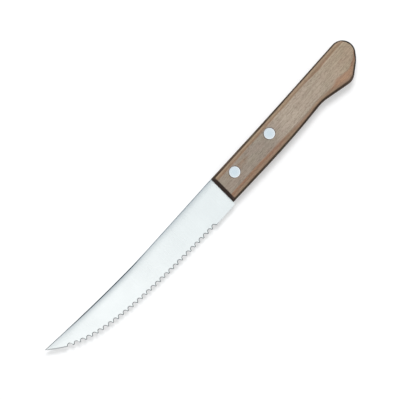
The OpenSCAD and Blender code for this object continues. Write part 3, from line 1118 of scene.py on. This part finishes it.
@dataclass
class RoundedPath:
    """A path of straight lines with rounded inner corners, cut into short steps.

    A corner is x, y and radius. Two roundings that would meet shrink alike.
    """

    corners: list[tuple[float, float, float]]
    step_turn: float = 2.5
    step_length: float = 4.0
    least_steps: int = 4

    def __post_init__(self) -> None:
        """Works out the sides and the ways along them."""
        self.spots = np.array([corner[:2] for corner in self.corners])
        steps = np.diff(self.spots, axis=0)
        self.sides = np.linalg.norm(steps, axis=1)
        self.ways = steps / self.sides[:, None]

    def reaches(self) -> np.ndarray:
        """How far each rounding reaches along its sides.

        Returns:
            The reach at each corner, nothing at both ends.
        """
        spots, sides = self.spots, self.sides
        wanted = np.zeros(len(spots))
        for i in range(1, len(spots) - 1):
            before, after = spots[i - 1] - spots[i], spots[i + 1] - spots[i]
            half = math.acos(before @ after / sides[i - 1] / sides[i]) / 2
            wanted[i] = self.corners[i][2] / math.tan(half)
        limited = wanted.copy()
        for i in range(1, len(spots) - 1):
            limited[i] *= min(1.0, sides[i - 1] / (wanted[i] + wanted[i - 1]),
                              sides[i] / (wanted[i] + wanted[i + 1]))
        return limited

    @staticmethod
    def left_of(way: np.ndarray) -> np.ndarray:
        """A way turned left by a right angle."""
        return np.array([-way[1], way[0]])

    def points(self) -> tuple[np.ndarray, np.ndarray]:
        """Cuts the path into points.

        Returns:
            The points, and the unit vector out of the outline at each, which is to the path's left.
        """
        spots, reach = self.spots, self.reaches()
        places, ways = [], []
        for i, along in enumerate(self.ways):
            if i:
                before = self.ways[i - 1]
                turn = math.atan2(before[0] * along[1] - before[1] * along[0], before @ along)
                radius = math.copysign(reach[i] / math.tan(abs(turn) / 2), turn)
                centre = spots[i] - before * reach[i] + radius * self.left_of(before)
                steps = max(self.least_steps, math.ceil(abs(turn) / math.radians(self.step_turn)))
                for k in range(steps + 1):
                    way = np.array(Matrix.Rotation(turn * k / steps, 2) @ Vector(before))
                    places.append(centre - radius * self.left_of(way))
                    ways.append(self.left_of(way))
            start = spots[i] + along * reach[i]
            end = spots[i + 1] - along * reach[i + 1]
            steps = max(1, math.ceil(np.linalg.norm(end - start) / self.step_length))
            first = 0 if i == 0 else 1
            final = steps if i == len(self.ways) - 1 else steps - 1
            for k in range(first, final + 1):
                places.append(start + (end - start) * k / steps)
                ways.append(self.left_of(along))
        return np.array(places), np.array(ways)


@dataclass
class LaminatedHandle:
    """The handle: one block of laminated wood, slotted for the tang and rounded along the grain."""

    place: KnifePlace
    length: float = 98.4
    thickness: float = 12.0
    front_h: float = 16.3
    front_lean: float = 0.9
    swell_h: float = 17.2
    waist_h: float = 15.8
    hump_h: float = 20.2
    steep_h: float = 14.1
    back_hollow: float = 0.4
    slope_angle: float = 34.2
    steep_angle: float = 49.7
    butt_r: float = 6.7
    steep_r: float = 14.6
    hump_r: float = 6.6
    waist_r: float = 21.6
    swell_r: float = 480.0
    back_r: float = 2400.0
    hollow_share: float = 0.43
    swell_share: float = 0.447
    waist_share: float = 0.68
    # The rounding is full up to one turn away from the grain and narrow from the other
    back_round_w: float = 3.8
    belly_round_w: float = 4.8
    end_round_w: float = 1.2
    round_depth: float = 4.0
    full_round_turn: float = 15.0
    end_round_turn: float = 60.0
    round_steps: int = 16
    bevel_l: float = 1.9
    bevel_depth: float = 2.6
    slot_l: float = 46.0
    slot_t: float = 1.6
    seat_d: float = 6.0
    seat_depth: float = 1.2
    seat_rim: float = 0.14
    tube_hole_d: float = 3.6
    seat_flats: int = 96
    # How far the cutters reach past the wood
    past: float = 1.0
    crease_angle: float = 22.0

    def outline(self) -> tuple[np.ndarray, np.ndarray]:
        """The outline from the front along the back and round the rear end.

        Returns:
            Its points, and the unit vector out of it at each.
        """
        butt_x = self.length - self.butt_r + self.butt_r / math.tan(math.radians(self.steep_angle / 2))
        steep_x = butt_x - self.steep_h / math.tan(math.radians(self.steep_angle))
        hump_x = steep_x - (self.hump_h - self.steep_h) / math.tan(math.radians(self.slope_angle))
        places, ways = RoundedPath([
            (0.0, 0.0, 0.0),
            (-self.length * self.hollow_share, self.back_hollow, self.back_r),
            (-butt_x, 0.0, self.butt_r),
            (-steep_x, self.steep_h, self.steep_r),
            (-hump_x, self.hump_h, self.hump_r),
            (-self.length * self.waist_share, self.waist_h, self.waist_r),
            (-self.length * self.swell_share, self.swell_h, self.swell_r),
            (self.front_lean, self.front_h, 0.0)]).points()
        front = np.array([self.front_lean, self.front_h]) / math.hypot(self.front_lean, self.front_h)
        ways[0], ways[-1] = -front, front
        return places, ways

    def rounding_w(self, ways: np.ndarray) -> np.ndarray:
        """Width of the rounding: full along the grain, narrow round the rear end.

        Args:
            ways: the unit vector out of the outline at each point.

        Returns:
            The width at each point.
        """
        turn = np.degrees(np.arccos(np.clip(np.abs(ways[:, 1]), 0.0, 1.0)))
        turn[[0, -1]] = 0.0
        share = 1 - smooth_step(turn, self.full_round_turn, self.end_round_turn)
        long_w = np.where(ways[:, 1] < 0, self.back_round_w, self.belly_round_w)
        return self.end_round_w + (long_w - self.end_round_w) * share

    def cutters(self) -> list[Object]:
        """Makes the solids that are cut from the block.

        Returns:
            The slot, a bevel for each face of the front, and the seats and hole of each rivet.
        """
        half, past = self.thickness / 2, self.past
        lean = math.atan2(self.front_h, self.front_lean) - math.pi / 2
        bevel_turn = math.atan2(self.bevel_depth, self.bevel_l)
        side = self.bevel_l + self.bevel_depth
        made = [block("slot", Vector((-self.slot_l, -past, -self.slot_t / 2)),
                      Vector((self.front_lean + past, self.hump_h + past, self.slot_t / 2)),
                      Matrix.Identity(4), self.place)]
        for face in (1, -1):
            turn = (Matrix.Diagonal((1, 1, face, 1)) @ Matrix.Rotation(lean, 4, "Z")
                    @ Matrix.Translation((-self.bevel_l, -past, half))
                    @ Matrix.Rotation(bevel_turn, 4, "Y") @ Matrix.Translation((-side, 0, 0)))
            made.append(block("bevel", Vector((0, 0, 0)),
                              Vector((3 * side, self.front_h + 2 * past, side)), turn, self.place))
        # Each seat flares at its rim, at the same slant on through the face
        r, rim, deep = self.seat_d / 2, self.seat_rim, half - self.seat_depth
        above = [(self.tube_hole_d / 2, deep), (r, deep), (r, half - rim),
                 (r + rim + past / 2, half + past / 2), (0.0, half + past / 2)]
        stepped = [(a, -b) for a, b in reversed(above)] + above
        return made + [
            lathe("seats_and_hole", stepped, axis, self.place, self.seat_flats) for axis in RIVET_AXES]

    def build(self) -> Object:
        """Builds the handle's mesh, cuts it and dresses it.

        Returns:
            The handle.
        """
        places, ways = self.outline()
        width = self.rounding_w(ways)
        half = self.thickness / 2
        turns = np.linspace(0.0, math.pi / 2, self.round_steps + 1)
        low = [(1 - math.sin(t), -half + self.round_depth * (1 - math.cos(t))) for t in turns]
        rings = [
            np.column_stack([places - ways * (width * inset)[:, None], np.full(len(places), z)])
            for inset, z in low + [(inset, -z) for inset, z in reversed(low)]]
        points = self.place.to_frame(np.vstack(rings))
        box_low, box_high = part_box("handle")
        points = np.clip(points, np.array(box_low), np.array(box_high))
        handle = piece_from("laminated_handle", points, ring_faces(len(rings), len(places)))
        carve(handle, self.cutters())
        crease(handle, self.crease_angle)
        wood = LaminatedBirch(half, (self.place.x, self.place.y), self.front_lean / self.front_h)
        handle.data.materials.append(wood.material())
        return handle


class RivetHalf(Enum):
    """The two halves of a compression rivet."""

    CAP = "cap"
    STUD = "stud"


@dataclass
class CompressionRivet:
    """One half of a two-part rivet: a tube under a flush head, or a shank that presses into it."""

    place: KnifePlace
    half: RivetHalf
    axis: tuple[float, float]
    name: str
    head_d: float = 5.8
    head_t: float = 1.2
    rim_r: float = 0.08
    tube_d: float = 3.5
    shank_d: float = 2.5
    shank_play: float = 0.02
    tube_l: float = 7.6
    bore_l: float = 6.3
    shank_l: float = 8.0
    handle_t: float = 12.0
    head_rings: tuple[float, ...] = (0.0, 0.35, 0.7)
    rim_points: int = 7
    flats: int = 96
    crease_angle: float = 25.0

    def head_profile(self) -> list[tuple[float, float]]:
        """Profile of the head, which is flat with a small round rim.

        Returns:
            Radius and height of each corner, from the head's middle to its inner face. Heights are
            measured up from the mid-plane.
        """
        top, r = self.handle_t / 2, self.head_d / 2
        flat = [(r * share, top) for share in self.head_rings]
        arc = [
            (r - self.rim_r * (1 - math.sin(a)), top - self.rim_r * (1 - math.cos(a)))
            for a in np.linspace(0.0, math.pi / 2, self.rim_points)]
        return flat + arc + [(r, top - self.head_t)]

    def profile(self) -> list[tuple[float, float]]:
        """Profile of this half; the stud's is turned upside down.

        Returns:
            Radius and height of each corner, from the head's middle back to the axis.
        """
        under = self.handle_t / 2 - self.head_t
        if self.half is RivetHalf.CAP:
            bore, tube = self.shank_d / 2 + self.shank_play, self.tube_d / 2
            end = under - self.tube_l
            return self.head_profile() + [
                (tube, under), (tube, end), (bore, end), (bore, end + self.bore_l),
                (0.0, end + self.bore_l)]
        shank, end = self.shank_d / 2, under - self.shank_l
        return [(r, -z) for r, z in self.head_profile() + [(shank, under), (shank, end), (0.0, end)]]

    def build(self, steel: Material) -> Object:
        """Turns this half and dresses it.

        Args:
            steel: its finish.

        Returns:
            The rivet's half.
        """
        made = lathe(self.name, self.profile(), self.axis, self.place, self.flats)
        crease(made, self.crease_angle)
        made.data.materials.append(steel)
        return made


# The studio


@dataclass
class Studio:
    """Background paper, a soft lamp, a bright room and a camera that looks straight down."""

    view_centre: tuple[float, float] = (0.30, -4.63)
    view_w: float = 202.6
    view_turn: float = 132.05
    view_level: float = 6.0
    view_reach: tuple[float, float] = (10.0, 20000.0)
    lens: float = 200.0
    sensor: float = 36.0
    paper_w: float = 4000.0
    paper_z: float = -0.02
    lamp_w: float = 420.0
    lamp_distance: float = 1400.0
    lamp_height_angle: float = 66.0
    lamp_power: float = 11.2
    room: float = 1.1
    # The room is white, and grey between these heights, which are parts of a unit vector
    white_colour: str = "#ffffff"
    grey_from: tuple[float, float] = (0.06, 0.2)
    grey_to: tuple[float, float] = (0.92, 0.8)
    # The grey is darker towards the dim side
    lit_colour: str = "#cccccc"
    dim_colour: str = "#7c7c7c"
    dim_way: tuple[float, float, float] = (0.6, 0.8, 0.0)
    dim_across: tuple[float, float] = (-0.6, 0.6)
    flag_colour: str = "#435f74"
    flag_across: tuple[float, float] = (-0.04, -0.27)
    flag_up: tuple[float, float] = (0.7, 0.8)

    def floor(self) -> None:
        """Lays the paper just under the handle."""
        w, z = self.paper_w / 2 * MM, self.paper_z * MM
        paper = piece_from("studio_floor", np.array([(-w, -w, z), (w, -w, z), (w, w, z), (-w, w, z)]),
                           [(0, 1, 2, 3)])
        if paper.data.polygons[0].normal.z < 0:
            paper.data.flip_normals()
        paper.data.materials.append(StudioPaper().material())

    def lamp(self) -> None:
        """Hangs one soft lamp beyond the top of the picture."""
        light = bpy.data.lights.new("key_light", "AREA")
        light.shape, light.size = "SQUARE", self.lamp_w * MM
        light.energy = self.lamp_power
        key = bpy.data.objects.new("key_light", light)
        turn = math.radians(self.view_turn)
        rise = math.radians(self.lamp_height_angle)
        up = Vector((-math.sin(turn), math.cos(turn), 0.0))
        key.location = (up * math.cos(rise) + Vector((0, 0, math.sin(rise)))) * self.lamp_distance * MM
        key.rotation_mode = "QUATERNION"
        key.rotation_quaternion = key.location.to_track_quat("Z", "Y")
        # The lamp is polarised against the camera, so the steel mirrors the room without it
        key.visible_glossy = False
        bpy.context.scene.collection.objects.link(key)

    def world(self) -> None:
        """Makes the room's light.

        It is white overhead and at eye level, and grey between, more so on the edge's side, away from
        the lamp. A blue-grey flag hangs high up on the back's side, where the rolled back mirrors it.
        """
        world = bpy.data.worlds.new("studio_room")
        bpy.context.scene.world = world
        world.use_nodes = True
        tree = world.node_tree
        tree.nodes.clear()
        way = add_node(tree, "ShaderNodeTexCoord").outputs["Generated"]
        _, across, up = add_node(tree, "ShaderNodeSeparateXYZ", {0: way}).outputs
        aside = add_node(tree, "ShaderNodeVectorMath", {0: way, 1: self.dim_way}, operation="DOT_PRODUCT")
        dim, *shares = [
            add_node(tree, "ShaderNodeMapRange", {"Value": value, "From Min": ends[0], "From Max": ends[1]})
            for value, ends in ((aside, self.dim_across), (up, self.grey_from), (up, self.grey_to),
                                (across, self.flag_across), (up, self.flag_up))]
        grey, flag = [
            add_node(tree, "ShaderNodeMath", {0: a, 1: b}, operation="MULTIPLY")
            for a, b in (shares[:2], shares[2:])]
        sides = add_node(tree, "ShaderNodeMix", {
            "Factor": dim, "A": linear(self.lit_colour), "B": linear(self.dim_colour)}, data_type="RGBA")
        colour = linear(self.white_colour)
        for share, over in ((grey, sides), (flag, linear(self.flag_colour))):
            colour = add_node(tree, "ShaderNodeMix", {"Factor": share, "A": colour, "B": over},
                              data_type="RGBA")
        room = add_node(tree, "ShaderNodeBackground", {"Color": colour, "Strength": self.room})
        add_node(tree, "ShaderNodeOutputWorld", {"Surface": room})

    def camera(self) -> None:
        """Sets the camera over the knife, turned as in the photograph."""
        data = bpy.data.cameras.new("camera")
        data.lens, data.sensor_width = self.lens, self.sensor
        data.clip_start, data.clip_end = (end * MM for end in self.view_reach)
        camera = bpy.data.objects.new("camera", data)
        distance = self.view_w / self.sensor * self.lens
        camera.location = Vector((*self.view_centre, self.view_level + distance)) * MM
        camera.rotation_euler = (0.0, 0.0, math.radians(self.view_turn))
        bpy.context.scene.collection.objects.link(camera)
        bpy.context.scene.camera = camera

    def build(self) -> None:
        """Builds the whole studio."""
        self.floor()
        self.lamp()
        self.world()
        self.camera()
        bpy.context.scene.view_settings.view_transform = "Standard"


def settle(piece: Object, node: str) -> None:
    """Puts a piece in its CAD node's stead.

    Args:
        piece: the dressed piece.
        node: the CAD node that it stands for.
    """
    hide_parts(node)
    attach(piece, BODY)
    LOG.info("%s stands for %s: %d faces", piece.name, node, len(piece.data.polygons))


def main() -> None:
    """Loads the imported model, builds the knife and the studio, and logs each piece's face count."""
    logging.basicConfig(level=logging.INFO, format="%(message)s")
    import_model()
    blade_low, blade_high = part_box("blade")
    handle_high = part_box("handle")[1]
    place = KnifePlace(
        blade_high.x / MM - SerratedBlade.length,
        blade_low.y / MM + SerratedBlade.tip_rise,
        handle_high.z / MM / 2)

    settle(SerratedBlade(place).build(), "blade")
    settle(LaminatedHandle(place).build(), "handle")
    steel = FacedRivetSteel(CompressionRivet.head_d / 2).material()
    for where, axis in zip(("front", "rear"), RIVET_AXES):
        for half in RivetHalf:
            name = f"{where}_{half.value}_rivet"
            rivet = CompressionRivet(place, half, axis, name).build(steel)
            settle(rivet, f"{where}_rivet_{half.value}")

    Studio().build()


if __name__ == "__main__":
    main()
